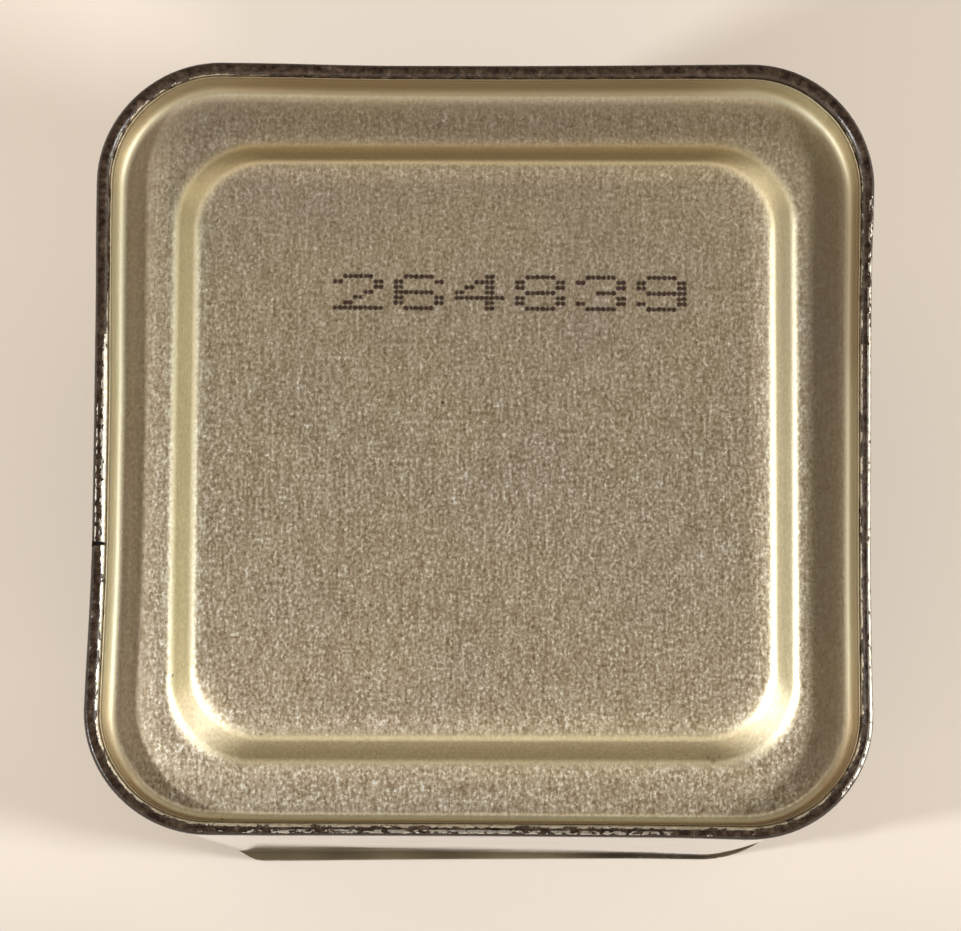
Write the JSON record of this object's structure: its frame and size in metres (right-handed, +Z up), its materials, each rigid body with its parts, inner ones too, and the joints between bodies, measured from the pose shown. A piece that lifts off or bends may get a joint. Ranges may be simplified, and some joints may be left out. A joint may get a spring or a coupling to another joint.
{
  "type": "tea tin",
  "caption": "Square tea tin with rounded corners and a slip lid, shut and standing base up, so its bare recessed base panel and the hem round it show.",
  "frame": {"origin": "centre of the footprint, on the plane that the lid's flat face rests on", "axes": "+Z up, from the lid to the base of the tin, which faces up; +X and +Y along the square sides, with -Y the side at the bottom of the picture"},
  "size_m": [0.076, 0.076, 0.112],
  "materials": {
    "body": "dark brown-black gloss lacquer, worn to bare metal along the hem",
    "base_end": "bare tinplate with a fine grain, warm khaki grey",
    "lid": "dark brown-black gloss lacquer"
  },
  "bodies": {
    "root": {"body": "body", "base_end": "base_end", "lid": "lid"}
  },
  "joints": []
}
